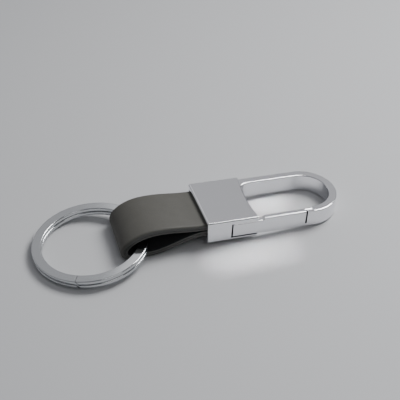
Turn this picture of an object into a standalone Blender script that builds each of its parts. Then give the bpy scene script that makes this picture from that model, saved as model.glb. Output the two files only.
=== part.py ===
"""Leather key fob: a die-cast snap hook with a sprung gate, a folded leather strap, and a split ring.

Lengths are in metres. The fob lies on a table at z = 0, with the hook towards +X and the ring towards -X.
Its gate side faces -Y. The hook is tipped up at its strap end, where the strap holds it off the table.
"""

import math

import bmesh
import bpy
from mathutils import Vector

# Hook casting: a block with an open loop at its +X end
BLOCK_LENGTH = 0.0143
BLOCK_WIDTH = 0.0180
BLOCK_HEIGHT = 0.0064
BLOCK_END_DISH = 0.0008
BLOCK_END_DRAFT = 0.0003
LOOP_REACH = 0.0252
LOOP_HEIGHT = 0.0050
LOOP_ARM_WIDTH = 0.0022
LOOP_ROOT_DEPTH = 0.0030
LOOP_CORNER_RADIUS = 0.0030
NOSE_LENGTH = 0.0113
NOSE_TIP_THICKNESS = 0.00065
EDGE_ROUND = 0.00025
HOOK_TILT_DEGREES = 3.6

# Gate: a bar that closes the loop's near side and turns on a pin in the block
GATE_THICKNESS = 0.00155
GATE_END_GAP = 0.0003
GATE_STOP_GAP = 0.0002
GATE_RAMP_START = 0.0010
GATE_RAMP_LENGTH = 0.0008
GATE_TAIL_HEIGHT = 0.00415
GATE_TONGUE_LENGTH = 0.0020
GATE_TONGUE_END_GAP = 0.0003
GATE_EYE_RADIUS = 0.00115
GATE_OPEN_DEGREES = 22.0

# Slot for the gate's tail in the block's near side
SLOT_FLOOR = 0.0007
SLOT_CEILING = 0.0052
SLOT_SIDE_CLEARANCE = 0.0003
SLOT_RUNNING_CLEARANCE = 0.00015

# Gate pin, pressed up from the underside into a blind hole
PIN_RADIUS = 0.0006
PIN_SEAT_CLEARANCE = 0.00002
PIN_RUNNING_CLEARANCE = 0.00006
PIN_TOP_COVER = 0.0005
PIN_RECESS = 0.0001
PIN_INSET = 0.0060

# Gate spring, a compression coil across the block
SPRING_PLACE = 0.0022
SPRING_RADIUS = 0.00092
SPRING_WIRE_RADIUS = 0.000175
SPRING_LENGTH = 0.0048
SPRING_TURNS = 5
SPRING_HOLE_RADIUS = 0.0013
SPRING_END_GAP = 0.0001

# Strap: grey leather outside, a thin dark lining glued inside
STRAP_WIDTH = 0.0154
LEATHER_THICKNESS = 0.0011
LINING_THICKNESS = 0.0006
GLUE_LINE = 0.0001
STRAP_EDGE_ROUND = 0.00018
STRAP_SHOULDER = 0.0007
STRAP_REACH = 0.02287
STRAP_LOOP_HEIGHT = 0.00845
STRAP_BEND_SKEW = 0.0005
STRAP_END_DEPTH = 0.0053
STRAP_END_SEPARATION = 0.0003

# Middle line of the strap's loop, in shares of its reach and of its height
CREST_REACH_SHARE = 0.585
BEND_HEIGHT_SHARE = 0.31
FOOT_START_REACH_SHARE = 0.875
FOOT_END_REACH_SHARE = 0.643
RISE_HANDLE_SHARE = 0.40
CREST_HANDLE_SHARE = 0.52
BEND_UPPER_HANDLE_SHARE = 0.52
BEND_LOWER_HANDLE_SHARE = 0.55
FOOT_HANDLE_SHARE = 0.60
RETURN_HANDLE_SHARE = 0.32

# Cavity for the strap's ends in the block's rear
CAVITY_CLEARANCE = 0.00015
CAVITY_END_CLEARANCE = 0.0001

# Strap screws, from the underside into bosses under the block's top
SCREW_INSET = 0.0028
SCREW_EDGE_INSET = 0.0035
SCREW_SHANK_RADIUS = 0.0008
SCREW_HEAD_RADIUS = 0.0014
SCREW_HEAD_DEPTH = 0.0008
SCREW_LENGTH = 0.0046
SCREW_CLEARANCE = 0.00005
SCREW_RECESS = 0.0001
SCREW_SLOT_WIDTH = 0.0004
SCREW_SLOT_DEPTH = 0.0004
BOSS_RADIUS = 0.0014
BOSS_HOLE_CLEARANCE = 0.0003
BOSS_FOOT_GAP = 0.0003

# Split ring: one flat wire wound twice round
RING_OUTER_RADIUS = 0.0155
RING_WIRE_WIDTH = 0.0026
RING_WIRE_THICKNESS = 0.00096
RING_TURN_GAP = 0.00042
RING_WIRE_CHAMFER = 0.00018
RING_IN_EYE = 0.0091
RING_SIDE_SHIFT = 0.0007
RING_SEAT_GAP = 0.00015
RING_END_DEGREES = 250.0
RING_JOGGLE_DEGREES = 5.5
RING_END_GAP_DEGREES = 2.3

# Overrun of every cut past the face that it breaks through
OVERRUN = 0.0010

# Distance under which two points of a turned piece are one
SAME_POINT = 0.0000001

# Angles: a face that counts as level, and an edge that is shaded sharp
LEVEL_FACE_COSINE = 0.9
SHARP_EDGE_DEGREES = 30.0

# Facet counts
ARC_STEPS = 28
DISH_STEPS = 12
EYE_STEPS = 12
ROUND_STEPS = 24
EDGE_SEGMENTS = 2
CORNER_STEPS = 8
SHOULDER_STEPS = 4
BEZIER_STEPS = 14
RING_STEPS = 60
JOGGLE_STEPS = 6
SPRING_STEPS = 10

HALF_WIDTH = BLOCK_WIDTH / 2
MIDDLE_HEIGHT = BLOCK_HEIGHT / 2
LOOP_BOTTOM = (BLOCK_HEIGHT - LOOP_HEIGHT) / 2
LOOP_TOP = LOOP_BOTTOM + LOOP_HEIGHT
LOOP_ARC_X = LOOP_REACH - HALF_WIDTH
NOSE_X = LOOP_REACH - NOSE_LENGTH
TONGUE_END_X = NOSE_X - GATE_END_GAP + GATE_TONGUE_LENGTH
RECESS_END_X = TONGUE_END_X + GATE_TONGUE_END_GAP
PIN_X = -PIN_INSET
PIN_Y = GATE_EYE_RADIUS - HALF_WIDTH
TAIL_BOTTOM = SLOT_FLOOR + SLOT_RUNNING_CLEARANCE
STRAP_THICKNESS = LEATHER_THICKNESS + GLUE_LINE + LINING_THICKNESS
CAVITY_HALF_HEIGHT = STRAP_THICKNESS + STRAP_END_SEPARATION / 2 + CAVITY_CLEARANCE
CAVITY_FLOOR = MIDDLE_HEIGHT - CAVITY_HALF_HEIGHT
CAVITY_CEILING = MIDDLE_HEIGHT + CAVITY_HALF_HEIGHT
SCREW_X = SCREW_INSET - BLOCK_LENGTH
HOOK_TILT = math.radians(HOOK_TILT_DEGREES)
HOOK_RISE = LOOP_REACH * math.sin(HOOK_TILT) - LOOP_BOTTOM * math.cos(HOOK_TILT)
RING_HEIGHT = 2 * RING_WIRE_THICKNESS + RING_TURN_GAP
RING_MIDDLE_RADIUS = RING_OUTER_RADIUS - RING_WIRE_WIDTH / 2


def clear_scene():
    for obj in list(bpy.data.objects):
        bpy.data.objects.remove(obj, do_unlink=True)


def principled(name, colour, roughness, metallic):
    material = bpy.data.materials.new(name)
    material.use_nodes = True
    shader = material.node_tree.nodes["Principled BSDF"]
    shader.inputs["Base Color"].default_value = (*colour, 1.0)
    shader.inputs["Roughness"].default_value = roughness
    shader.inputs["Metallic"].default_value = metallic
    return material


def empty(name, parent, location=(0, 0, 0), rotation=(0, 0, 0)):
    obj = bpy.data.objects.new(name, None)
    bpy.context.collection.objects.link(obj)
    obj.parent = parent
    obj.location = location
    obj.rotation_euler = rotation
    return obj


def solid(name, bm, parent, material=None, location=(0, 0, 0)):
    """Turns a bmesh into an object. One with no material is a cutter or an addition for a Boolean."""
    bmesh.ops.recalc_face_normals(bm, faces=bm.faces)
    mesh = bpy.data.meshes.new(name)
    bm.to_mesh(mesh)
    bm.free()
    obj = bpy.data.objects.new(name, mesh)
    bpy.context.collection.objects.link(obj)
    obj.parent = parent
    obj.location = location
    if material:
        mesh.materials.append(material)
        mesh.shade_smooth()
        mesh.set_sharp_from_angle(angle=math.radians(SHARP_EDGE_DEGREES))
    else:
        obj.hide_render = True
        obj.display_type = "WIRE"
    return obj


def boolean(target, other, operation="DIFFERENCE"):
    modifier = target.modifiers.new(other.name, "BOOLEAN")
    modifier.operation = operation
    modifier.solver = "EXACT"
    modifier.object = other


def prism(outline, bottom, top):
    """Raises a plan outline of (x, y) points from one height to another."""
    bm = bmesh.new()
    face = bm.faces.new([bm.verts.new((x, y, bottom)) for x, y in outline])
    raised = bmesh.ops.extrude_face_region(bm, geom=[face])["geom"]
    moved = [item for item in raised if isinstance(item, bmesh.types.BMVert)]
    bmesh.ops.translate(bm, verts=moved, vec=(0, 0, top - bottom))
    return bm


def side_prism(outline, near, far):
    """Draws a side outline of (x, z) points out from one y to another."""
    bm = bmesh.new()
    face = bm.faces.new([bm.verts.new((x, near, z)) for x, z in outline])
    drawn = bmesh.ops.extrude_face_region(bm, geom=[face])["geom"]
    moved = [item for item in drawn if isinstance(item, bmesh.types.BMVert)]
    bmesh.ops.translate(bm, verts=moved, vec=(0, far - near, 0))
    return bm


def round_edges(bm, edges):
    bmesh.ops.bevel(
        bm, geom=edges, offset=EDGE_ROUND, segments=EDGE_SEGMENTS, profile=0.5,
        affect="EDGES", clamp_overlap=True, material=-1,
    )


def rims(bm):
    """The edges round the top and the bottom of a prism."""
    bmesh.ops.recalc_face_normals(bm, faces=bm.faces)
    return [
        edge
        for edge in bm.edges
        if any(abs(face.normal.z) > LEVEL_FACE_COSINE for face in edge.link_faces)
    ]


def corners(bm):
    """All the edges of a solid that would be sharp to the touch."""
    bmesh.ops.recalc_face_normals(bm, faces=bm.faces)
    sharp = math.radians(SHARP_EDGE_DEGREES)
    return [edge for edge in bm.edges if edge.calc_face_angle() > sharp]


def turned(profile, steps=ROUND_STEPS):
    """Turns a profile of (radius, height) points about Z. Its ends lie on the axis."""
    bm = bmesh.new()
    points = [bm.verts.new((radius, 0, height)) for radius, height in profile]
    edges = [bm.edges.new(pair) for pair in zip(points, points[1:])]
    bmesh.ops.spin(
        bm, geom=points + edges, cent=(0, 0, 0), axis=(0, 0, 1),
        angle=math.tau, steps=steps, use_merge=True,
    )
    bmesh.ops.remove_doubles(bm, verts=bm.verts, dist=SAME_POINT)
    return bm


def rod(radius, bottom, top, steps=ROUND_STEPS):
    return turned([(0, bottom), (radius, bottom), (radius, top), (0, top)], steps)


def arc(centre, radius, start, end, steps):
    """Points of an arc in plan, from one angle to another, both in degrees."""
    angles = [math.radians(start + (end - start) * i / steps) for i in range(steps + 1)]
    return [
        (centre[0] + radius * math.cos(a), centre[1] + radius * math.sin(a)) for a in angles
    ]


def block_end_x(y):
    """The block's end face is dished: flush at the sides, deepest in the middle."""
    return -BLOCK_END_DISH * (1 - (y / HALF_WIDTH) ** 2)


def block_outline():
    sides = [BLOCK_WIDTH * i / DISH_STEPS - HALF_WIDTH for i in range(DISH_STEPS + 1)]
    end = [(block_end_x(y), y) for y in sides]
    return [(-BLOCK_LENGTH, -HALF_WIDTH), *end, (-BLOCK_LENGTH, HALF_WIDTH)]


def loop_outline():
    """The loop from its root in the block, round its end to the nose, and back along the inside."""
    inner_y = HALF_WIDTH - LOOP_ARM_WIDTH
    nose_y = NOSE_TIP_THICKNESS - HALF_WIDTH
    past_arc = math.degrees(math.asin((RECESS_END_X - LOOP_ARC_X) / inner_y))
    corner_y = inner_y - LOOP_CORNER_RADIUS
    corner_x = block_end_x(corner_y) + LOOP_CORNER_RADIUS
    return [
        (-LOOP_ROOT_DEPTH, HALF_WIDTH),
        *arc((LOOP_ARC_X, 0), HALF_WIDTH, 90, -90, ARC_STEPS),
        (NOSE_X, -HALF_WIDTH),
        (NOSE_X, nose_y),
        (RECESS_END_X, nose_y),
        *arc((LOOP_ARC_X, 0), inner_y, past_arc - 90, 90, ARC_STEPS),
        *arc((corner_x, corner_y), LOOP_CORNER_RADIUS, 90, 180, CORNER_STEPS),
        (-LOOP_ROOT_DEPTH, corner_y),
    ]


def slot_outline():
    """The gate's slot in plan: round about the pin, then a wedge that gives the tail room to swing."""
    turn = math.radians(GATE_OPEN_DEGREES)
    radius = GATE_EYE_RADIUS + SLOT_SIDE_CLEARANCE
    offset = GATE_THICKNESS - GATE_EYE_RADIUS + SLOT_SIDE_CLEARANCE
    meet = math.degrees(turn + math.asin(offset / radius))
    end_y = PIN_Y + offset / math.cos(turn) + (PIN_INSET + OVERRUN) * math.tan(turn)
    return [
        (PIN_X - radius, -HALF_WIDTH - OVERRUN),
        (OVERRUN, -HALF_WIDTH - OVERRUN),
        (OVERRUN, end_y),
        *arc((PIN_X, PIN_Y), radius, meet, 180, EYE_STEPS),
    ]


def gate_outline():
    """The gate in plan: flat outside, an eye round the pin inside its tail, and a tongue at its tip."""
    inner_y = GATE_THICKNESS - HALF_WIDTH
    tongue_y = NOSE_TIP_THICKNESS + GATE_STOP_GAP - HALF_WIDTH
    tip_x = NOSE_X - GATE_END_GAP
    meet = math.degrees(math.asin((inner_y - PIN_Y) / GATE_EYE_RADIUS))
    return [
        (PIN_X - GATE_EYE_RADIUS, -HALF_WIDTH),
        (tip_x, -HALF_WIDTH),
        (tip_x, tongue_y),
        (TONGUE_END_X, tongue_y),
        (TONGUE_END_X, inner_y),
        *arc((PIN_X, PIN_Y), GATE_EYE_RADIUS, meet, 180, EYE_STEPS),
    ]


def drafted_block():
    """The block. Its strap end leans in a little towards the underside, as a casting does."""
    bm = prism(block_outline(), 0, BLOCK_HEIGHT)
    for vert in bm.verts:
        if vert.co.x < PIN_X and vert.co.z < MIDDLE_HEIGHT:
            vert.co.x += BLOCK_END_DRAFT
    return bm


def hook_frame(parent, material):
    block = drafted_block()
    round_edges(block, corners(block))
    loop = prism(loop_outline(), LOOP_BOTTOM, LOOP_TOP)
    round_edges(loop, rims(loop))
    frame = solid("hook_frame", block, parent, material)
    boolean(frame, solid("add_loop", loop, parent), "UNION")
    cavity = side_prism(
        [
            (-BLOCK_LENGTH - OVERRUN, CAVITY_FLOOR),
            (STRAP_END_DEPTH + CAVITY_END_CLEARANCE - BLOCK_LENGTH, CAVITY_FLOOR),
            (STRAP_END_DEPTH + CAVITY_END_CLEARANCE - BLOCK_LENGTH, CAVITY_CEILING),
            (-BLOCK_LENGTH - OVERRUN, CAVITY_CEILING),
        ],
        -STRAP_WIDTH / 2 - CAVITY_CLEARANCE,
        STRAP_WIDTH / 2 + CAVITY_CLEARANCE,
    )
    boolean(frame, solid("cut_cavity", cavity, parent))
    slot = prism(slot_outline(), SLOT_FLOOR, SLOT_CEILING)
    boolean(frame, solid("cut_slot", slot, parent))
    spring_hole = solid("cut_spring_hole", rod(SPRING_HOLE_RADIUS, -OVERRUN, SPRING_LENGTH), parent)
    spring_hole.location = spring_start()
    spring_hole.rotation_euler = (-math.pi / 2, 0, 0)
    boolean(frame, spring_hole)
    pin_hole = rod(PIN_RADIUS + PIN_SEAT_CLEARANCE, -OVERRUN, BLOCK_HEIGHT - PIN_TOP_COVER)
    boolean(frame, solid("cut_pin_hole", pin_hole, parent, location=(PIN_X, PIN_Y, 0)))
    for side, name in ((-1, "near"), (1, "far")):
        place = screw_place(side)
        boss = rod(BOSS_RADIUS, CAVITY_FLOOR + BOSS_FOOT_GAP, CAVITY_CEILING + BOSS_FOOT_GAP)
        boolean(frame, solid(f"add_boss_{name}", boss, parent, location=place), "UNION")
        bore = turned(screw_profile(SCREW_CLEARANCE, OVERRUN))
        boolean(frame, solid(f"cut_screw_{name}", bore, parent, location=place))
    return frame


def gate_lever(parent, material):
    """The gate, with its own origin on the pin."""
    body = prism(gate_outline(), LOOP_BOTTOM, LOOP_TOP)
    round_edges(body, rims(body))
    gate = solid("gate_lever", body, parent, material, location=(-PIN_X, -PIN_Y, 0))
    tail_top = TAIL_BOTTOM + GATE_TAIL_HEIGHT
    far_left = -PIN_INSET - GATE_EYE_RADIUS - OVERRUN
    above = side_prism(
        [
            (far_left, tail_top),
            (GATE_RAMP_START, tail_top),
            (GATE_RAMP_START + GATE_RAMP_LENGTH, LOOP_TOP),
            (GATE_RAMP_START + GATE_RAMP_LENGTH, LOOP_TOP + OVERRUN),
            (far_left, LOOP_TOP + OVERRUN),
        ],
        -HALF_WIDTH - OVERRUN,
        0,
    )
    below = side_prism(
        [
            (far_left, -OVERRUN),
            (GATE_RAMP_START, -OVERRUN),
            (GATE_RAMP_START, TAIL_BOTTOM),
            (far_left, TAIL_BOTTOM),
        ],
        -HALF_WIDTH - OVERRUN,
        0,
    )
    bore = rod(PIN_RADIUS + PIN_RUNNING_CLEARANCE, -OVERRUN, BLOCK_HEIGHT)
    place = (-PIN_X, -PIN_Y, 0)
    boolean(gate, solid("cut_above_tail", above, parent, location=place))
    boolean(gate, solid("cut_below_tail", below, parent, location=place))
    boolean(gate, solid("cut_gate_bore", bore, parent))
    return gate


def gate_pivot_pin(parent, material):
    pin = rod(PIN_RADIUS, PIN_RECESS, BLOCK_HEIGHT - PIN_TOP_COVER - PIN_RECESS)
    return solid("gate_pivot_pin", pin, parent, material, location=(PIN_X, PIN_Y, 0))


def spring_start():
    """Where the spring's near end stands off the tail's inner side, at mid-height of the tail."""
    near = GATE_THICKNESS + SPRING_END_GAP - HALF_WIDTH
    return (-SPRING_PLACE, near, TAIL_BOTTOM + GATE_TAIL_HEIGHT / 2)


def helix(turns, radius, length, steps):
    total = turns * steps
    points = []
    for i in range(total + 1):
        angle = math.tau * i / steps
        points.append((radius * math.cos(angle), radius * math.sin(angle), length * i / total))
    return points


def least_gap(points, width, apart):
    """The least distance between stretches of a wire that are at least some steps apart, less the wire."""
    found = math.inf
    for i, point in enumerate(points):
        for other in points[i + apart:]:
            found = min(found, math.dist(point, other))
    return found - width


def gate_spring(parent, material):
    length = SPRING_LENGTH - 2 * SPRING_END_GAP - 2 * SPRING_WIRE_RADIUS
    points = helix(SPRING_TURNS, SPRING_RADIUS, length, SPRING_STEPS)
    gap = least_gap(points, 2 * SPRING_WIRE_RADIUS, SPRING_STEPS // 2)
    print(f"gate spring, least gap between its coils: {gap * 1000:.2f} mm")
    curve = bpy.data.curves.new("gate_spring", "CURVE")
    curve.dimensions = "3D"
    curve.bevel_depth = SPRING_WIRE_RADIUS
    curve.bevel_resolution = 1
    curve.use_fill_caps = True
    spline = curve.splines.new("POLY")
    spline.points.add(len(points) - 1)
    for target, point in zip(spline.points, points):
        target.co = (*point, 1)
    curve.materials.append(material)
    spring = bpy.data.objects.new("gate_spring", curve)
    bpy.context.collection.objects.link(spring)
    spring.parent = parent
    x, y, z = spring_start()
    spring.location = (x, y + SPRING_WIRE_RADIUS, z)
    spring.rotation_euler = (-math.pi / 2, 0, 0)
    return spring


def screw_place(side):
    return (SCREW_X, side * (STRAP_WIDTH / 2 - SCREW_EDGE_INSET), 0)


def screw_profile(clearance, foot):
    """Countersunk screw seen from its axis, head down, grown by a clearance and run past the head."""
    head = SCREW_HEAD_RADIUS + clearance
    shank = SCREW_SHANK_RADIUS + clearance
    top = SCREW_RECESS + SCREW_LENGTH + clearance
    bottom = SCREW_RECESS - foot
    return [
        (0, bottom),
        (head, bottom),
        (head, SCREW_RECESS + clearance),
        (shank, SCREW_RECESS + SCREW_HEAD_DEPTH + clearance),
        (shank, top),
        (0, top),
    ]


def strap_screw(side, name, parent, material):
    profile = [point for i, point in enumerate(screw_profile(0, 0)) if i != 1]
    screw = solid(name, turned(profile), parent, material, location=screw_place(side))
    reach = SCREW_HEAD_RADIUS + OVERRUN
    slot = side_prism(
        [
            (-reach, SCREW_RECESS - OVERRUN),
            (reach, SCREW_RECESS - OVERRUN),
            (reach, SCREW_RECESS + SCREW_SLOT_DEPTH),
            (-reach, SCREW_RECESS + SCREW_SLOT_DEPTH),
        ],
        -SCREW_SLOT_WIDTH / 2,
        SCREW_SLOT_WIDTH / 2,
    )
    boolean(screw, solid(f"cut_slot_{name}", slot, parent, location=screw_place(side)))
    return screw


def on_table(x, z):
    """A point of the tipped hook's side view, seen in the table's frame."""
    sine, cosine = math.sin(HOOK_TILT), math.cos(HOOK_TILT)
    return Vector((x * cosine + z * sine, z * cosine - x * sine + HOOK_RISE))


def bezier(start, start_way, end, end_way, steps):
    """Points of a cubic from start to end. The ways are its handles, both in the sense of travel."""
    a, b = start + start_way, end - end_way
    points = []
    for i in range(1, steps + 1):
        t = i / steps
        s = 1 - t
        points.append(start * s**3 + a * 3 * s * s * t + b * 3 * s * t * t + end * t**3)
    return points


def strap_mouth():
    """Where the strap leaves the block, the line that it flexes about."""
    mouth = on_table(-BLOCK_LENGTH, MIDDLE_HEIGHT)
    return Vector((mouth.x, 0, mouth.y))


def strap_middle_line():
    """The strap's middle line from the side: out of the block, round the eye and back in."""
    lift = (STRAP_THICKNESS + STRAP_END_SEPARATION) / 2
    half = STRAP_THICKNESS / 2
    inner_x = STRAP_END_DEPTH - BLOCK_LENGTH
    mouth_x = -BLOCK_LENGTH - CAVITY_CLEARANCE
    upper_end = on_table(inner_x, MIDDLE_HEIGHT + lift)
    upper_mouth = on_table(mouth_x, MIDDLE_HEIGHT + lift)
    lower_mouth = on_table(mouth_x, MIDDLE_HEIGHT - lift)
    lower_end = on_table(inner_x, MIDDLE_HEIGHT - lift)
    outward = (upper_mouth - upper_end).normalized()
    left, right, down = Vector((-1, 0)), Vector((1, 0)), Vector((0, -1))
    start = upper_mouth.x
    crest = Vector((start - CREST_REACH_SHARE * STRAP_REACH, STRAP_LOOP_HEIGHT - half))
    bend = Vector((start - STRAP_REACH + half, BEND_HEIGHT_SHARE * STRAP_LOOP_HEIGHT))
    foot_start = Vector((start - FOOT_START_REACH_SHARE * STRAP_REACH, half))
    foot_end = Vector((start - FOOT_END_REACH_SHARE * STRAP_REACH, half))
    rise = RISE_HANDLE_SHARE * (start - crest.x)
    over = CREST_HANDLE_SHARE * (crest.x - bend.x)
    upper_turn = BEND_UPPER_HANDLE_SHARE * (crest.y - bend.y)
    lower_turn = BEND_LOWER_HANDLE_SHARE * (bend.y - half)
    under = FOOT_HANDLE_SHARE * (foot_start.x - bend.x)
    back = RETURN_HANDLE_SHARE * (start - foot_end.x)
    steps = BEZIER_STEPS
    return [
        upper_end,
        upper_mouth,
        *bezier(upper_mouth, outward * rise, crest, left * rise, steps),
        *bezier(crest, left * over, bend, down * upper_turn, steps),
        *bezier(bend, down * lower_turn, foot_start, right * under, steps),
        foot_end,
        *bezier(foot_end, right * back, lower_mouth, -outward * back, steps),
        lower_end,
    ]


def bend_share(x):
    """How far a point of the middle line lies from the strap's crest towards its bend, from 0 to 1."""
    start = on_table(-BLOCK_LENGTH - CAVITY_CLEARANCE, MIDDLE_HEIGHT).x
    crest = start - CREST_REACH_SHARE * STRAP_REACH
    bend = start - STRAP_REACH + STRAP_THICKNESS / 2
    return min(max((crest - x) / (crest - bend), 0), 1)


def band_section(low, high, low_round, high_round, high_steps):
    """The strap's cross-section as (distance outward, y) points, with its long edges rounded."""
    half = STRAP_WIDTH / 2
    near, far = low_round - half, half - low_round
    high_near, high_far = high_round - half, half - high_round
    return [
        *arc((low + low_round, near), low_round, 180, 270, 1),
        *arc((high - high_round, high_near), high_round, 270, 360, high_steps),
        *arc((high - high_round, high_far), high_round, 0, 90, high_steps),
        *arc((low + low_round, far), low_round, 90, 180, 1),
    ]


def swept(path, section):
    """A band along a side-view path. Its bend reaches less far on its far side."""
    bm = bmesh.new()
    rings = []
    for i, point in enumerate(path):
        before = path[max(i - 1, 0)]
        after = path[min(i + 1, len(path) - 1)]
        into, out = (point - before).normalized(), (after - point).normalized()
        along = (into + out).normalized()
        normal = Vector((along.y, -along.x))
        skew = STRAP_BEND_SKEW * bend_share(point.x) ** 2
        ring = []
        for outward, y in section:
            place = point + normal * outward
            far_share = (y + STRAP_WIDTH / 2) / STRAP_WIDTH
            ring.append(bm.verts.new((place.x + skew * far_share, y, place.y)))
        rings.append(ring)
    for ring, after in zip(rings, rings[1:]):
        for i in range(len(section)):
            j = (i + 1) % len(section)
            bm.faces.new((ring[i], ring[j], after[j], after[i]))
    bm.faces.new(rings[0])
    bm.faces.new(reversed(rings[-1]))
    return bm


def strap_layer(name, section, parent, boss_holes, material):
    band = swept(strap_middle_line(), section)
    layer = solid(name, band, parent, material, location=-strap_mouth())
    for hole in boss_holes:
        boolean(layer, hole)
    return layer


def boss_hole(side, name, parent):
    radius = BOSS_RADIUS + BOSS_HOLE_CLEARANCE
    hole = rod(radius, -OVERRUN, BLOCK_HEIGHT + OVERRUN)
    return solid(f"cut_boss_hole_{name}", hole, parent, location=screw_place(side))


def ring_pose():
    """The ring's centre and tilt: its free side on the table, its other side on the strap's inner face."""
    start = on_table(-BLOCK_LENGTH - CAVITY_CLEARANCE, MIDDLE_HEIGHT).x
    right = start - STRAP_REACH + RING_IN_EYE
    left = right - 2 * RING_OUTER_RADIUS
    touch = start - FOOT_START_REACH_SHARE * STRAP_REACH
    tilt = math.atan((STRAP_THICKNESS + RING_SEAT_GAP) / (touch - left))
    height = RING_OUTER_RADIUS * math.sin(tilt) + RING_HEIGHT / 2 * math.cos(tilt)
    return Vector(((left + right) / 2, -RING_SIDE_SHIFT, height)), tilt


def ring_path():
    """Angle and height of the flat wire's middle: a turn on top, a joggle down, and a turn below."""
    level = (RING_WIRE_THICKNESS + RING_TURN_GAP) / 2
    joggle_end = 360 - RING_END_GAP_DEGREES
    joggle_start = joggle_end - RING_JOGGLE_DEGREES
    last = joggle_start + 360 - RING_END_GAP_DEGREES
    step = 360 / RING_STEPS
    joggle = [joggle_start + RING_JOGGLE_DEGREES * i / JOGGLE_STEPS for i in range(JOGGLE_STEPS + 1)]
    round_steps = [i * step for i in range(2 * RING_STEPS) if not joggle_start < i * step < joggle_end]
    turns = sorted({*round_steps, *joggle, last})
    path = []
    for turn in turns:
        if turn > last:
            break
        share = min(max((turn - joggle_start) / RING_JOGGLE_DEGREES, 0), 1)
        smooth = share * share * (3 - 2 * share)
        path.append((math.radians(RING_END_DEGREES + turn), level * (1 - 2 * smooth)))
    return path


def split_ring(parent, material):
    half_width, half_height = RING_WIRE_WIDTH / 2, RING_WIRE_THICKNESS / 2
    cut = RING_WIRE_CHAMFER
    section = [
        (half_width - cut, -half_height), (half_width, cut - half_height),
        (half_width, half_height - cut), (half_width - cut, half_height),
        (cut - half_width, half_height), (-half_width, half_height - cut),
        (-half_width, cut - half_height), (cut - half_width, -half_height),
    ]
    path = ring_path()
    middle = [(RING_MIDDLE_RADIUS * math.cos(a), RING_MIDDLE_RADIUS * math.sin(a), z) for a, z in path]
    gap = least_gap(middle, RING_WIRE_THICKNESS, RING_STEPS // 2)
    print(f"split ring, least gap between its turns: {gap * 1000:.2f} mm")
    bm = bmesh.new()
    rings = []
    for angle, height in path:
        rings.append(
            [
                bm.verts.new(
                    (
                        (RING_MIDDLE_RADIUS + out) * math.cos(angle),
                        (RING_MIDDLE_RADIUS + out) * math.sin(angle),
                        height + up,
                    )
                )
                for out, up in section
            ]
        )
    for ring, after in zip(rings, rings[1:]):
        for i in range(len(section)):
            j = (i + 1) % len(section)
            bm.faces.new((ring[i], ring[j], after[j], after[i]))
    bm.faces.new(rings[0])
    bm.faces.new(reversed(rings[-1]))
    return solid("split_ring", bm, parent, material)


def centre_footprint(root):
    """Moves the whole fob so that the middle of its box stands over the origin."""
    bpy.context.view_layer.update()
    graph = bpy.context.evaluated_depsgraph_get()
    points = []
    for obj in bpy.context.collection.objects:
        if obj.type == "MESH" and not obj.hide_render:
            done = obj.evaluated_get(graph)
            points += [done.matrix_world @ vertex.co for vertex in done.data.vertices]
    for axis in (0, 1):
        values = [point[axis] for point in points]
        root.location[axis] = -(min(values) + max(values)) / 2


def build():
    clear_scene()
    zinc = principled("polished nickel-plated zinc", (0.62, 0.62, 0.64), 0.24, 1.0)
    steel = principled("nickel-plated spring steel", (0.46, 0.47, 0.48), 0.28, 1.0)
    wire = principled("bright spring wire", (0.55, 0.56, 0.58), 0.30, 1.0)
    leather = principled("grey leather", (0.115, 0.108, 0.095), 0.62, 0.0)
    lining = principled("dark lining leather", (0.022, 0.023, 0.024), 0.75, 0.0)

    root = empty("key_fob", None)
    hook_pose = empty("hook_pose", root, (0, 0, HOOK_RISE), (0, HOOK_TILT, 0))
    gate_pivot = empty("gate_pivot", hook_pose, (PIN_X, PIN_Y, 0))
    strap_pivot = empty("strap_pivot", root, strap_mouth())
    centre, tilt = ring_pose()
    ring_pivot = empty("ring_pivot", strap_pivot, centre - strap_mouth(), (0, -tilt, 0))

    hook_frame(hook_pose, zinc)
    gate_pivot_pin(hook_pose, wire)
    gate_spring(hook_pose, wire)
    gate_lever(gate_pivot, zinc)
    strap_screw(-1, "strap_screw_near", hook_pose, steel)
    strap_screw(1, "strap_screw_far", hook_pose, steel)
    holes = [boss_hole(-1, "near", hook_pose), boss_hole(1, "far", hook_pose)]
    half = STRAP_THICKNESS / 2
    cut = STRAP_EDGE_ROUND
    outer = band_section(half - LEATHER_THICKNESS, half, cut, STRAP_SHOULDER, SHOULDER_STEPS)
    inner = band_section(-half, LINING_THICKNESS - half, cut, cut, 1)
    strap_layer("strap_outer_leather", outer, strap_pivot, holes, leather)
    strap_layer("strap_lining", inner, strap_pivot, holes, lining)
    split_ring(ring_pivot, steel)
    centre_footprint(root)


build()
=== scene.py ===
"""Looks of a leather key fob: a plated snap hook, a folded strap of grey leather and a split ring.

Lengths are in metres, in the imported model's frame: the table is at z = 0, the hook points to +X,
the split ring lies towards -X and the gate faces -Y.
"""

import math

import bmesh
import bpy
from mathutils import Matrix, Vector


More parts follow.
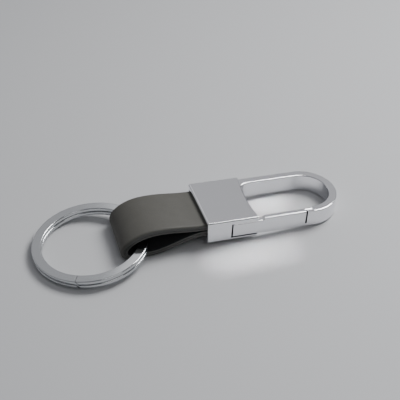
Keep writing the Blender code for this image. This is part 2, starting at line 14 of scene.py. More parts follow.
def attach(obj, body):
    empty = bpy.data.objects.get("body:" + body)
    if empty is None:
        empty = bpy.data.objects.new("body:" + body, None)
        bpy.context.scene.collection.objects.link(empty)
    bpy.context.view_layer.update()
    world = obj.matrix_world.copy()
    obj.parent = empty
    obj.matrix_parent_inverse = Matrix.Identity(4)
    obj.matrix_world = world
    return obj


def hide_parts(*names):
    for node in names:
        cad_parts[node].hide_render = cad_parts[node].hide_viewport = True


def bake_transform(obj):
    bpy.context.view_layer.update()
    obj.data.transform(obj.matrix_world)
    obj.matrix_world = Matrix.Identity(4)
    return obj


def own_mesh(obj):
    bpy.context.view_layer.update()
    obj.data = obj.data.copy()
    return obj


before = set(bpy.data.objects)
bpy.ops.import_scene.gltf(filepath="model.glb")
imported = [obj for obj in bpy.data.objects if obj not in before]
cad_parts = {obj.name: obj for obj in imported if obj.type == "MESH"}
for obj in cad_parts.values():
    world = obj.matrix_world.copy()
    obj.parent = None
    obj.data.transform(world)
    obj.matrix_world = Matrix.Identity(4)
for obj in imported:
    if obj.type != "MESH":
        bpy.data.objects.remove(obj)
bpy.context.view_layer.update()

# Where the hook, the ring and the strap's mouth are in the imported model
HOOK_TILT = math.radians(3.6)
FOB_SHIFT = Vector((0.016759, 0.0007, 0))
RING_CENTRE = Vector((-0.026731, 0, 0.002383))
RING_TILT = math.asin(0.078517)

# Hook casting, in the hook's own frame: x = 0 at the block's end, z = 0 at its underside
BLOCK_LENGTH = 0.0143
BLOCK_WIDTH = 0.0180
BLOCK_HEIGHT = 0.0064
BLOCK_END_DISH = 0.0008
BLOCK_END_DRAFT = 0.0003
BLOCK_STRAP_END_ROUND = 0.0005
BLOCK_ROUND = 0.00036
BLOCK_SIDE_RIM_SHARE = 0.9
LOOP_REACH = 0.0252
LOOP_HEIGHT = 0.0050
LOOP_ARM_WIDTH = 0.0022
LOOP_ROOT_DEPTH = 0.0030
LOOP_CORNER_RADIUS = 0.0030
LOOP_ROUND = 0.00034
NOSE_LENGTH = 0.0113
NOSE_TIP_THICKNESS = 0.00065

# Gate
GATE_THICKNESS = 0.00155
GATE_END_GAP = 0.0003
GATE_STOP_GAP = 0.0002
GATE_RAMP_START = 0.0010
GATE_RAMP_LENGTH = 0.0008
GATE_FOOT_RAMP_LENGTH = 0.0003
GATE_TAIL_BOTTOM = 0.00085
GATE_TAIL_TOP = 0.00502
GATE_TONGUE_LENGTH = 0.0020
GATE_EYE_RADIUS = 0.00115
GATE_OPEN = math.radians(22)
GATE_ROUND = 0.00034
GATE_EYE_CORNER = 0.0007
PIN_INSET = 0.0060

# Holes in the casting
SLOT_FLOOR = 0.0007
SLOT_CEILING = 0.00512
SLOT_CLEARANCE = 0.0004
PIN_HOLE_RADIUS = 0.00062
PIN_HOLE_TOP = 0.0059
PIN_BORE_RADIUS = 0.00066
SPRING_PLACE = 0.0022
SPRING_HOLE_RADIUS = 0.0013
SPRING_HOLE_DEPTH = 0.0048
SPRING_HEIGHT = 0.002925
STRAP_END_CLEARANCE = 0.0001
SPRING_SEAT_GAP = 0.0001

# How far a cutter stands out of the piece that it cuts
OVERRUN = 0.0010

# Strap screws and the bosses that they go into
SCREW_INSET = 0.0028
SCREW_SIDE = 0.0042
SCREW_RECESS = 0.0001
SCREW_BORE_RADIUS = 0.00085
SCREW_HEAD_RADIUS = 0.00145
SCREW_HEAD_DEPTH = 0.0008
SCREW_TOP = 0.00475
BOSS_RADIUS = 0.0014
BOSS_BOTTOM = 0.0015
BOSS_TOP = 0.0055
BOSS_HOLE_RADIUS = 0.0017

# Strap
STRAP_WIDTH = 0.0154
LEATHER_THICKNESS = 0.0011
LINING_THICKNESS = 0.00068
GLUE_LINE = 0.00002
STRAP_SHOULDER = 0.0007
STRAP_EDGE_ROUND = 0.00018
EDGE_PAINT_DEPTH = 0.0001
STRAP_REACH = 0.02287
STRAP_LOOP_HEIGHT = 0.00845
STRAP_BEND_SKEW = 0.0005
STRAP_END_DEPTH = 0.0053
STRAP_END_SEPARATION = 0.0003
STRAP_THICKNESS = LEATHER_THICKNESS + GLUE_LINE + LINING_THICKNESS
CAVITY_CLEARANCE = 0.00015
CAVITY_HALF_HEIGHT = STRAP_THICKNESS + STRAP_END_SEPARATION / 2 + CAVITY_CLEARANCE
GRIPPED_SECTION_SHARE = 0.6

# Middle line of the strap's eye, in shares of its reach and of its height
CREST_REACH_SHARE = 0.585
BEND_HEIGHT_SHARE = 0.31
FOOT_START_REACH_SHARE = 0.875
FOOT_END_REACH_SHARE = 0.643
RISE_HANDLE_SHARE = 0.40
CREST_HANDLE_SHARE = 0.52
BEND_UPPER_HANDLE_SHARE = 0.52
BEND_LOWER_HANDLE_SHARE = 0.55
FOOT_HANDLE_SHARE = 0.60
RETURN_HANDLE_SHARE = 0.32

# Split ring
RING_MIDDLE_RADIUS = 0.01419
RING_WIRE_WIDTH = 0.0026
RING_WIRE_THICKNESS = 0.00109
RING_TURN_GAP = 0.00016
RING_WIRE_ROUND = 0.00028
RING_START_DEGREES = 250.0
RING_JOGGLE_DEGREES = 5.5
RING_START_LAP_DEGREES = 5.05
RING_JOGGLE_START_DEGREES = 352.2
RING_END_TURN_DEGREES = 714.75
RING_END_SLANT = math.radians(1.75)

# Camera: its lens, the point that it looks at, and which way and how far it stands back from there
CAMERA_SENSOR_WIDTH_MM = 36
CAMERA_LENS_MM = 100.53
CAMERA_AIM = FOB_SHIFT + Vector((-0.009785, 0.011049, 0))
CAMERA_WAY_BACK = Vector((-0.2327, -0.7431, 0.6274)).normalized()
CAMERA_DISTANCE = 0.31072

# Light of the room: its level, and how it changes along x, y and z
ROOM_LEVEL = 0.21
ROOM_SLOPE = (-0.06, 0.15, 0.10)

# The front strip draws bright lines on the rims, and flat plate mirrors the rear panel and the card
# Soft lights: name, place, the point that it faces, width, depth and power in watts
SOFT_LIGHTS = (
    ("main softbox", (0.25, 0.08, 0.32), (-0.03, -0.27, 0), 0.20, 0.20, 2.42),
    ("front strip", (0.12, -0.39, 0.45), (0, 0, 0), 0.32, 0.22, 0.43),
    ("rear panel", (0.06, 0.25, 0.215), (0, 0, 0), 0.34, 0.18, 0.0230),
    ("card for the ring", (0.025, 0.206, 0.209), RING_CENTRE, 0.07, 0.08, 0.0095),
)

# Light that the plated sides throw back onto the table: name, x and y, width, depth and power
GLOWS = (
    ("glow before the gate", 0.0135, -0.0143, 0.022, 0.006, 0.00085),
    ("glow in the loop", 0.0241, 0.0050, 0.008, 0.002, 0.00055),
)
GLOW_HEIGHT = 0.3
GLOW_SPREAD = math.radians(2.5)

# Sizes of the finishes' patterns in millimetres, each a length over how many of them it holds
SMUDGE_MM = 25 / 8
ORANGE_PEEL_MM = 10 / 9
PEBBLE_MM = 10 / 22
DYE_CLOUD_MM = 50 / 13
PAINT_DRAG_MM = 10 / 5
NAP_MM = 1 / 3
TABLE_CLOUD_MM = 1000 / 9

# Sockets of a Mix node that mixes colours
FIRST_COLOUR = 6
SECOND_COLOUR = 7
MIXED_COLOUR = 2

# Facets
ROUND_STEPS = 4
CORNER_STEPS = 12
LOOP_STEPS = 36
DISH_STEPS = 24
RING_STEPS = 150
JOGGLE_STEPS = 10
STRAP_STEPS = 18
STRAP_FOOT_STEPS = 4
STRAP_SHOULDER_STEPS = 6
STRAP_UNDER_EDGE_STEPS = 2
LINING_EDGE_STEPS = 3
STRAP_WIDTH_STEPS = 12
HOLE_STEPS = 40

# Which edges are sharp and which are rims, and how far a face's normal turns to an axis to be picked
SHARP_ANGLE = math.radians(35)
RIM_ANGLE = math.radians(60)
END_FACE_SHARE = 0.99
RING_SLOPE_SHARE = 0.15

# How close a face lies to a plane to be picked with it, and how close two points are to be one
SKIN = 0.00005
SAME_POINT = 0.000001

TABLE_HALF_WIDTH = 3

HALF_WIDTH = BLOCK_WIDTH / 2
MIDDLE_HEIGHT = BLOCK_HEIGHT / 2
LOOP_BOTTOM = (BLOCK_HEIGHT - LOOP_HEIGHT) / 2
LOOP_TOP = LOOP_BOTTOM + LOOP_HEIGHT
LOOP_INNER = HALF_WIDTH - LOOP_ARM_WIDTH
NOSE_X = LOOP_REACH - NOSE_LENGTH
GATE_TIP_X = NOSE_X - GATE_END_GAP
TONGUE_END_X = GATE_TIP_X + GATE_TONGUE_LENGTH
RECESS_END_X = TONGUE_END_X + GATE_END_GAP
TONGUE_Y = NOSE_TIP_THICKNESS + GATE_STOP_GAP - HALF_WIDTH
PIN = Vector((-PIN_INSET, GATE_EYE_RADIUS - HALF_WIDTH, 0))
HOOK_RISE = LOOP_REACH * math.sin(HOOK_TILT) - LOOP_BOTTOM * math.cos(HOOK_TILT)
HOOK_PLACE = (
    Matrix.Translation(FOB_SHIFT + Vector((0, 0, HOOK_RISE))) @ Matrix.Rotation(HOOK_TILT, 4, "Y")
)
RING_PLACE = Matrix.Translation(RING_CENTRE) @ Matrix.Rotation(-RING_TILT, 4, "Y")


def linear(code):
    """An sRGB hex colour as linear RGBA."""
    parts = [int(code[i:i + 2], 16) / 255 for i in (1, 3, 5)]
    return (*[c / 12.92 if c <= 0.04045 else ((c + 0.055) / 1.055) ** 2.4 for c in parts], 1)


def pattern_scale(millimetres):
    """The scale of a texture on Object coordinates, which are in metres, for a pattern of this size."""
    return 1000 / millimetres


def node(tree, kind, settings=None, values=None, links=None):
    """Adds a node, sets its properties and socket values, and links its inputs to sockets."""
    made = tree.nodes.new(kind)
    for name, value in (settings or {}).items():
        setattr(made, name, value)
    for name, value in (values or {}).items():
        made.inputs[name].default_value = value
    for name, socket in (links or {}).items():
        tree.links.new(socket, made.inputs[name])
    return made


def material(name, code, metallic, roughness):
    """A new material with its colour, metallic and roughness set, its node tree and its shader."""
    made = bpy.data.materials.new(name)
    made.use_nodes = True
    tree = made.node_tree
    shader = tree.nodes["Principled BSDF"]
    shader.inputs["Base Color"].default_value = linear(code)
    shader.inputs["Metallic"].default_value = metallic
    shader.inputs["Roughness"].default_value = roughness
    return made, tree, shader


def bright_metal(name, code, roughness, wander, ripple):
    """Metal with a shine: a faint orange peel ripples it, and handling makes it unevenly glossy."""
    made, tree, shader = material(name, code, 1.0, roughness)
    place = node(tree, "ShaderNodeTexCoord").outputs["Object"]
    smudges = node(
        tree, "ShaderNodeTexNoise",
        values={"Scale": pattern_scale(SMUDGE_MM), "Detail": 3.0, "Roughness": 0.55},
        links={"Vector": place},
    )
    gloss = node(
        tree, "ShaderNodeMapRange",
        values={
            "From Min": 0.3, "From Max": 0.7,
            "To Min": roughness - wander, "To Max": roughness + wander,
        },
        links={"Value": smudges.outputs["Fac"]},
    )
    tree.links.new(gloss.outputs["Result"], shader.inputs["Roughness"])
    peel = node(
        tree, "ShaderNodeTexNoise",
        values={"Scale": pattern_scale(ORANGE_PEEL_MM), "Detail": 2.0}, links={"Vector": place},
    )
    bump = node(
        tree, "ShaderNodeBump", values={"Strength": 1.0, "Distance": ripple},
        links={"Height": peel.outputs["Fac"]},
    )
    tree.links.new(bump.outputs["Normal"], shader.inputs["Normal"])
    return made


def leather():
    """Full-grain leather, drum dyed and pressed nearly smooth: a soft sheen over a fine pebble."""
    made, tree, shader = material("pressed full-grain leather, grey", "#4F4E4A", 0.0, 0.5)
    shader.inputs["Specular IOR Level"].default_value = 0.25
    place = node(tree, "ShaderNodeTexCoord").outputs["Object"]
    # The real hide's pebble is 0.2 to 0.3 mm, too fine to show, so it is drawn coarser
    pebble = node(
        tree, "ShaderNodeTexVoronoi", {"feature": "SMOOTH_F1"},
        {"Scale": pattern_scale(PEBBLE_MM), "Smoothness": 0.7, "Randomness": 1.0}, {"Vector": place},
    )
    cloud = node(
        tree, "ShaderNodeTexNoise",
        values={"Scale": pattern_scale(DYE_CLOUD_MM), "Detail": 4.0, "Roughness": 0.6},
        links={"Vector": place},
    )
    tint = node(
        tree, "ShaderNodeMix", {"data_type": "RGBA", "blend_type": "MIX"},
        {FIRST_COLOUR: linear("#4B4A46"), SECOND_COLOUR: linear("#54534F")},
        {"Factor": cloud.outputs["Fac"]},
    )
    tree.links.new(tint.outputs[MIXED_COLOUR], shader.inputs["Base Color"])
    gloss = node(
        tree, "ShaderNodeMapRange",
        values={"From Min": 0.0, "From Max": 0.6, "To Min": 0.46, "To Max": 0.56},
        links={"Value": pebble.outputs["Distance"]},
    )
    tree.links.new(gloss.outputs["Result"], shader.inputs["Roughness"])
    bump = node(
        tree, "ShaderNodeBump", values={"Strength": 0.5, "Distance": 0.00003},
        links={"Height": pebble.outputs["Distance"]},
    )
    tree.links.new(bump.outputs["Normal"], shader.inputs["Normal"])
    return made


def edge_paint():
    """Cut leather edge under acrylic edge paint: smooth, a shade darker and glossier than the grain."""
    made, tree, shader = material("acrylic edge paint on cut leather", "#4A4A47", 0.0, 0.42)
    place = node(tree, "ShaderNodeTexCoord").outputs["Object"]
    drag = node(
        tree, "ShaderNodeTexNoise",
        values={"Scale": pattern_scale(PAINT_DRAG_MM), "Detail": 3.0}, links={"Vector": place},
    )
    bump = node(
        tree, "ShaderNodeBump", values={"Strength": 0.4, "Distance": 0.00004},
        links={"Height": drag.outputs["Fac"]},
    )
    tree.links.new(bump.outputs["Normal"], shader.inputs["Normal"])
    return made


def lining_leather():
    """Split-leather lining, dyed nearly black: a short flat nap with no shine."""
    made, tree, shader = material("split leather lining, charcoal", "#1C1D1F", 0.0, 0.8)
    place = node(tree, "ShaderNodeTexCoord").outputs["Object"]
    # The real nap is about 0.1 mm, too fine to show, so it is drawn coarser
    nap = node(
        tree, "ShaderNodeTexNoise",
        values={"Scale": pattern_scale(NAP_MM), "Detail": 4.0, "Roughness": 0.7},
        links={"Vector": place},
    )
    bump = node(
        tree, "ShaderNodeBump", values={"Strength": 0.6, "Distance": 0.00005},
        links={"Height": nap.outputs["Fac"]},
    )
    tree.links.new(bump.outputs["Normal"], shader.inputs["Normal"])
    return made


def painted_gap_shade():
    """Dark, dull plate on the faces inside gaps and joints and on the ring wire's ends: painted shade, so
    that they read as dark lines.
    """
    return material("dark plate as painted shade in gaps", "#4C4C4E", 1.0, 0.55)[0]


def table_finish():
    """Matt laminate table top: an even pale grey with the faintest clouds, its grain too fine to show."""
    made, tree, shader = material("matt laminate table top", "#B8B9BB", 0.0, 0.7)
    shader.inputs["Specular IOR Level"].default_value = 0.15
    place = node(tree, "ShaderNodeTexCoord").outputs["Object"]
    cloud = node(
        tree, "ShaderNodeTexNoise",
        values={"Scale": pattern_scale(TABLE_CLOUD_MM), "Detail": 2.0}, links={"Vector": place},
    )
    tint = node(
        tree, "ShaderNodeMix", {"data_type": "RGBA", "blend_type": "MIX"},
        {FIRST_COLOUR: linear("#B7B8BA"), SECOND_COLOUR: linear("#B9BABC")},
        {"Factor": cloud.outputs["Fac"]},
    )
    tree.links.new(tint.outputs[MIXED_COLOUR], shader.inputs["Base Color"])
    return made


def new_object(name, bm, *materials):
    """A shape made into an object: doubles merged, faces turned outwards, finishes added."""
    bmesh.ops.remove_doubles(bm, verts=bm.verts, dist=SAME_POINT)
    bmesh.ops.recalc_face_normals(bm, faces=bm.faces)
    mesh = bpy.data.meshes.new(name)
    bm.to_mesh(mesh)
    bm.free()
    for finish in materials:
        mesh.materials.append(finish)
    mesh.shade_smooth()
    made = bpy.data.objects.new(name, mesh)
    bpy.context.collection.objects.link(made)
    return made


def combined(target, bm, operation="DIFFERENCE"):
    """Cuts a shape out of a piece, or joins it on, and leaves the result in the piece's mesh."""
    other = new_object("helper", bm)
    modifier = target.modifiers.new("combine", "BOOLEAN")
    modifier.operation = operation
    modifier.solver = "EXACT"
    modifier.object = other
    graph = bpy.context.evaluated_depsgraph_get()
    done = bpy.data.meshes.new_from_object(target.evaluated_get(graph))
    target.modifiers.clear()
    target.data = done
    bpy.data.objects.remove(other, do_unlink=True)


def bevelled(bm, geom, offset, steps=ROUND_STEPS, affect="EDGES", clamp=True):
    """Rounds edges or corners. Without the clamp a short edge doesn't hold the round back."""
    bmesh.ops.bevel(
        bm, geom=geom, offset=offset, segments=steps, profile=0.5, affect=affect, material=-1,
        clamp_overlap=clamp,
    )


def block(low, high):
    """A plain block between two corners."""
    bm = bmesh.new()
    bmesh.ops.create_cube(bm, size=1)
    low, high = Vector(low), Vector(high)
    bmesh.ops.scale(bm, vec=high - low, verts=bm.verts)
    bmesh.ops.translate(bm, vec=(low + high) / 2, verts=bm.verts)
    return bm


def rod(centre, low_radius, high_radius, bottom, top):
    """A round bar or cone standing on a point of the plan."""
    bm = bmesh.new()
    bmesh.ops.create_cone(
        bm, cap_ends=True, segments=HOLE_STEPS, radius1=low_radius, radius2=high_radius,
        depth=top - bottom,
    )
    bmesh.ops.translate(bm, vec=(centre[0], centre[1], (bottom + top) / 2), verts=bm.verts)
    return bm


def outlined(points, place):
    """A flat face through a few (x, y) points, turned and moved by a matrix."""
    bm = bmesh.new()
    bm.faces.new([bm.verts.new(place @ Vector((x, y, 0))) for x, y in points])
    return bm


def corner_rounded(bm, point, radius, steps=CORNER_STEPS):
    """Rounds the corner of a flat outline that lies at a point."""
    vert = min(bm.verts, key=lambda v: (v.co - Vector(point)).length)
    bevelled(bm, [vert], radius, steps, "VERTICES")


def cross_section(width, height, matrix, rounds):
    """A flat section with rounded corners: width along its own x, height along its own y."""
    bm = bmesh.new()
    bmesh.ops.create_grid(bm, x_segments=1, y_segments=1, size=0.5)
    bmesh.ops.scale(bm, vec=(width, height, 1), verts=bm.verts)
    for radius, steps, chosen in rounds:
        bevelled(bm, [v for v in bm.verts if chosen(v.co)], radius, steps, "VERTICES")
    bmesh.ops.transform(bm, matrix=matrix, verts=bm.verts)
    bm.faces.ensure_lookup_table()
    return bm, bm.faces[0]


def drawn_on(bm, face, way, first=False):
    """Extrudes the end face of a bar, moves it on by a vector and returns it."""
    made = bmesh.ops.extrude_face_region(bm, geom=[face])["geom"]
    end = next(item for item in made if isinstance(item, bmesh.types.BMFace))
    if not first:
        bmesh.ops.delete(bm, geom=[face], context="FACES_ONLY")
    bmesh.ops.translate(bm, vec=way, verts=end.verts)
    return end


def turned_on(bm, face, centre, angle, steps, drop=0.0):
    """Spins the end face of a bar about an upright axis, moves it down as it goes and returns it."""
    made = bmesh.ops.spin(
        bm, geom=[face, *face.edges, *face.verts], cent=centre, axis=(0, 0, 1), angle=angle,
        dvec=(0, 0, -drop / steps), steps=steps, use_merge=False, use_duplicate=False,
    )["geom_last"]
    return next(item for item in made if isinstance(item, bmesh.types.BMFace))


def faired(made):
    """Shades a piece: its rounded edges run smoothly into flat faces, and its cut edges stay crisp."""
    made.data.shade_smooth()
    made.data.set_sharp_from_angle(angle=SHARP_ANGLE)
    normals = made.modifiers.new("flat faces", "WEIGHTED_NORMAL")
    normals.keep_sharp = True


def placed(made, place, body, slot, *nodes):
    """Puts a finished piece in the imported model's frame, on its body, in the place of its solids."""
    made.data.transform(place)
    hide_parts(*nodes)
    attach(made, body)
    return made


def dish(y):
    """How far the block's +X end lies behind its corners."""
    return BLOCK_END_DISH * (1 - (y / HALF_WIDTH) ** 2)


def dished_block():
    """The block, drawn across from its side outline: drafted at the strap, dished at the loop's end."""
    upright = Matrix.Translation((0, -HALF_WIDTH, 0)) @ Matrix.Rotation(math.pi / 2, 4, "X")
    top_left = (-BLOCK_LENGTH, BLOCK_HEIGHT)
    bottom_left = (BLOCK_END_DRAFT - BLOCK_LENGTH, 0)
    bm = outlined([bottom_left, (0, 0), (0, BLOCK_HEIGHT), top_left], upright)
    corner_rounded(bm, (-BLOCK_LENGTH, -HALF_WIDTH, BLOCK_HEIGHT), BLOCK_STRAP_END_ROUND)
    for x, z in (bottom_left, (0, 0), (0, BLOCK_HEIGHT)):
        corner_rounded(bm, (x, -HALF_WIDTH, z), BLOCK_ROUND, ROUND_STEPS)
    bm.faces.ensure_lookup_table()
    face = bm.faces[0]
    for i in range(DISH_STEPS):
        face = drawn_on(bm, face, (0, BLOCK_WIDTH / DISH_STEPS, 0), first=i == 0)
    for vert in bm.verts:
        if vert.co.x > -BLOCK_LENGTH / 2:
            vert.co.x -= dish(vert.co.y)
    bmesh.ops.recalc_face_normals(bm, faces=bm.faces)
    bevelled(bm, rims(bm, 1), BLOCK_ROUND * BLOCK_SIDE_RIM_SHARE)
    return bm


def painted_shade_on(made, finish, *boxes):
    """Paints shade: gives the faces of a piece that lie inside any of some boxes another finish."""
    made.data.materials.append(finish)
    for face in made.data.polygons:
        for low, high in boxes:
            if all(low[i] < face.center[i] < high[i] for i in range(3)):
                face.material_index = 1


def rims(bm, axis):
    """The edges round the two end faces that look along an axis."""
    ends = [face for face in bm.faces if abs(face.normal[axis]) > END_FACE_SHARE]
    return [e for face in ends for e in face.edges if e.calc_face_angle() > SHARP_ANGLE]


def loop_outline():
    """The hook's open loop in plan: from its root in the block, round its end to the nose and back."""
    inner_x = LOOP_REACH - LOOP_ARM_WIDTH
    tip_y = NOSE_TIP_THICKNESS - HALF_WIDTH
    low_y = LOOP_INNER - LOOP_CORNER_RADIUS
    end_x = -dish(low_y)
    bm = outlined(
        [
            (-LOOP_ROOT_DEPTH, HALF_WIDTH), (LOOP_REACH, HALF_WIDTH), (LOOP_REACH, -HALF_WIDTH),
            (NOSE_X, -HALF_WIDTH), (NOSE_X, tip_y), (RECESS_END_X, tip_y),
            (RECESS_END_X, -LOOP_INNER), (inner_x, -LOOP_INNER), (inner_x, LOOP_INNER),
            (end_x, LOOP_INNER), (end_x, low_y), (-LOOP_ROOT_DEPTH, low_y),
        ],
        Matrix.Translation((0, 0, LOOP_BOTTOM)),
    )
    for side in (HALF_WIDTH, -HALF_WIDTH):
        corner_rounded(bm, (LOOP_REACH, side, LOOP_BOTTOM), HALF_WIDTH, LOOP_STEPS)
    for side in (LOOP_INNER, -LOOP_INNER):
        corner_rounded(bm, (inner_x, side, LOOP_BOTTOM), LOOP_INNER, LOOP_STEPS)
    corner_rounded(bm, (end_x, LOOP_INNER, LOOP_BOTTOM), LOOP_CORNER_RADIUS)
    bmesh.ops.remove_doubles(bm, verts=bm.verts, dist=SAME_POINT)
    return bm


def loop_bar():
    """The hook's open loop as a bar with rounded rims."""
    bm = loop_outline()
    bm.faces.ensure_lookup_table()
    drawn_on(bm, bm.faces[0], (0, 0, LOOP_HEIGHT), first=True)
    bmesh.ops.recalc_face_normals(bm, faces=bm.faces)
    bevelled(bm, rims(bm, 2), LOOP_ROUND)
    return bm


def hook_casting(finish, gap_shade_plate):
    """Block and loop in one, with the strap's cavity, the gate's slot, the bores and the screw bosses."""
    made = new_object("hook_casting", dished_block(), finish)
    combined(made, loop_bar(), "UNION")
    cavity_end = STRAP_END_DEPTH + STRAP_END_CLEARANCE - BLOCK_LENGTH
    side = STRAP_WIDTH / 2 + CAVITY_CLEARANCE
    combined(
        made,
        block(
            (-BLOCK_LENGTH - OVERRUN, -side, MIDDLE_HEIGHT - CAVITY_HALF_HEIGHT),
            (cavity_end, side, MIDDLE_HEIGHT + CAVITY_HALF_HEIGHT),
        ),
    )
    radius = GATE_EYE_RADIUS + SLOT_CLEARANCE
    combined(
        made, block((PIN.x - radius, -HALF_WIDTH - OVERRUN, SLOT_FLOOR), (OVERRUN, PIN.y, SLOT_CEILING))
    )
    combined(made, rod(PIN, radius, radius, SLOT_FLOOR, SLOT_CEILING))
    combined(made, slot_wedge())
    combined(made, rod(PIN, PIN_HOLE_RADIUS, PIN_HOLE_RADIUS, -OVERRUN, PIN_HOLE_TOP))
    combined(made, spring_hole())
    for side in (-SCREW_SIDE, SCREW_SIDE):
        place = (SCREW_INSET - BLOCK_LENGTH, side)
        combined(made, rod(place, BOSS_RADIUS, BOSS_RADIUS, BOSS_BOTTOM, BOSS_TOP), "UNION")
        combined(made, rod(place, SCREW_BORE_RADIUS, SCREW_BORE_RADIUS, -OVERRUN, SCREW_TOP))
        sink = SCREW_HEAD_RADIUS - SCREW_BORE_RADIUS
        slope = sink / (SCREW_HEAD_DEPTH + SCREW_RECESS)
        combined(
            made,
            rod(
                place, SCREW_HEAD_RADIUS + slope * OVERRUN, SCREW_BORE_RADIUS,
                -OVERRUN, SCREW_HEAD_DEPTH + SCREW_RECESS,
            ),
        )
    slot_end = PIN.x - GATE_EYE_RADIUS - SLOT_CLEARANCE - SKIN
    nose_tip = NOSE_TIP_THICKNESS - HALF_WIDTH
    # Painted shade: the faces inside the gate's slot and the nose's face towards the gate's tip get the
    # dark plate
    painted_shade_on(
        made, gap_shade_plate,
        ((slot_end, SKIN - HALF_WIDTH, 0), (-BLOCK_END_DISH, HALF_WIDTH, BLOCK_HEIGHT - SKIN)),
        (
            (NOSE_X - SKIN, LOOP_ROUND - HALF_WIDTH, LOOP_BOTTOM + LOOP_ROUND),
            (NOSE_X + SKIN, nose_tip - SKIN, LOOP_TOP - LOOP_ROUND),
        ),
    )
    faired(made)
    return placed(made, HOOK_PLACE, "hook", "plated_zinc", "hook_frame")


def slot_wedge():
    """Room for the gate's tail to swing in: a wedge behind the tail that opens towards the loop."""
    behind = GATE_THICKNESS - GATE_EYE_RADIUS + SLOT_CLEARANCE
    bm = block((PIN.x, PIN.y - SLOT_CLEARANCE, SLOT_FLOOR), (OVERRUN, PIN.y + behind, SLOT_CEILING))
    for vert in bm.verts:
        if vert.co.y > PIN.y:
            open_depth = (vert.co.x - PIN.x) * math.tan(GATE_OPEN)
            vert.co.y = PIN.y + behind / math.cos(GATE_OPEN) + open_depth
    return bm


def spring_hole():
    """The hole across the block that the gate spring sits in, open towards the gate's tail."""
    bm = rod((0, 0), SPRING_HOLE_RADIUS, SPRING_HOLE_RADIUS, -OVERRUN, SPRING_HOLE_DEPTH)
    near = GATE_THICKNESS + SPRING_SEAT_GAP - HALF_WIDTH
    place = Matrix.Translation((-SPRING_PLACE, near, SPRING_HEIGHT))
    bmesh.ops.transform(bm, matrix=place @ Matrix.Rotation(-math.pi / 2, 4, "X"), verts=bm.verts)
    return bm


def gate_outline():
    """The gate in plan: flat outside, an eye for the pin inside its tail, and a tongue at its tip."""
    inner = GATE_THICKNESS - HALF_WIDTH
    tail, eye, far = PIN.x - GATE_EYE_RADIUS, PIN.x + GATE_EYE_RADIUS, PIN.y + GATE_EYE_RADIUS
    bm = outlined(
        [
            (tail, -HALF_WIDTH), (GATE_TIP_X, -HALF_WIDTH), (GATE_TIP_X, TONGUE_Y),
            (TONGUE_END_X, TONGUE_Y), (TONGUE_END_X, inner), (eye, inner), (eye, far), (tail, far),
        ],
        Matrix.Translation((0, 0, LOOP_BOTTOM)),
    )
    corner_rounded(bm, (eye, far, LOOP_BOTTOM), GATE_EYE_CORNER)
    corner_rounded(bm, (tail, far, LOOP_BOTTOM), GATE_EYE_RADIUS)
    return bm


def gate_bar():
    """The gate's bar. Its tail is lower in height, and meets it in a ramp on top and one below."""
    bm = gate_outline()
    bm.faces.ensure_lookup_table()
    drawn_on(bm, bm.faces[0], (0, 0, LOOP_HEIGHT), first=True)
    ramp_end = GATE_RAMP_START + GATE_RAMP_LENGTH
    foot_end = GATE_RAMP_START + GATE_FOOT_RAMP_LENGTH
    for x in (GATE_RAMP_START, foot_end, ramp_end):
        bmesh.ops.bisect_plane(
            bm, geom=bm.verts[:] + bm.edges[:] + bm.faces[:], plane_co=(x, 0, 0), plane_no=(1, 0, 0)
        )
    for vert in bm.verts:
        if vert.co.z > MIDDLE_HEIGHT:
            share = min(max((ramp_end - vert.co.x) / GATE_RAMP_LENGTH, 0), 1)
            vert.co.z -= share * (LOOP_TOP - GATE_TAIL_TOP)
        else:
            share = min(max((foot_end - vert.co.x) / GATE_FOOT_RAMP_LENGTH, 0), 1)
            vert.co.z += share * (GATE_TAIL_BOTTOM - LOOP_BOTTOM)
    bmesh.ops.recalc_face_normals(bm, faces=bm.faces)
    inner = GATE_THICKNESS - HALF_WIDTH + SAME_POINT
    corners = [edge for edge in bm.edges if edge.calc_face_angle_signed() > RIM_ANGLE]
    outer_rims = [edge for edge in corners if all(vert.co.y < inner for vert in edge.verts)]
    bevelled(bm, outer_rims, GATE_ROUND, clamp=False)
    return bm


def gate(finish, gap_shade_plate):
    """The gate lever, bored for its pin, with painted shade where its tail and its tip face the hook."""
    made = new_object("gate_casting", gate_bar(), finish)
    combined(made, rod(PIN, PIN_BORE_RADIUS, PIN_BORE_RADIUS, 0, BLOCK_HEIGHT))
    tail, rim = PIN.x - GATE_EYE_RADIUS, GATE_ROUND - HALF_WIDTH
    # Painted shade on the tail's end face and on the tip's faces in the joint with the nose
    painted_shade_on(
        made, gap_shade_plate,
        ((tail - SKIN, rim, 0), (tail + SKIN, 0, BLOCK_HEIGHT)),
        ((GATE_TIP_X - SKIN, rim, 0), (TONGUE_END_X, TONGUE_Y + SKIN, LOOP_TOP - GATE_ROUND)),
    )
    faired(made)
    return placed(made, HOOK_PLACE, "gate", "plated_zinc", "gate_lever")


def gate_spring(finish):
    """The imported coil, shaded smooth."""
    bm = bmesh.new()
    bm.from_mesh(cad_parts["gate_spring"].data)
    made = new_object("gate_spring_wire", bm, finish)
    placed(made, Matrix.Identity(4), "hook", "spring_steel", "gate_spring")
    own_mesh(made)
    return made


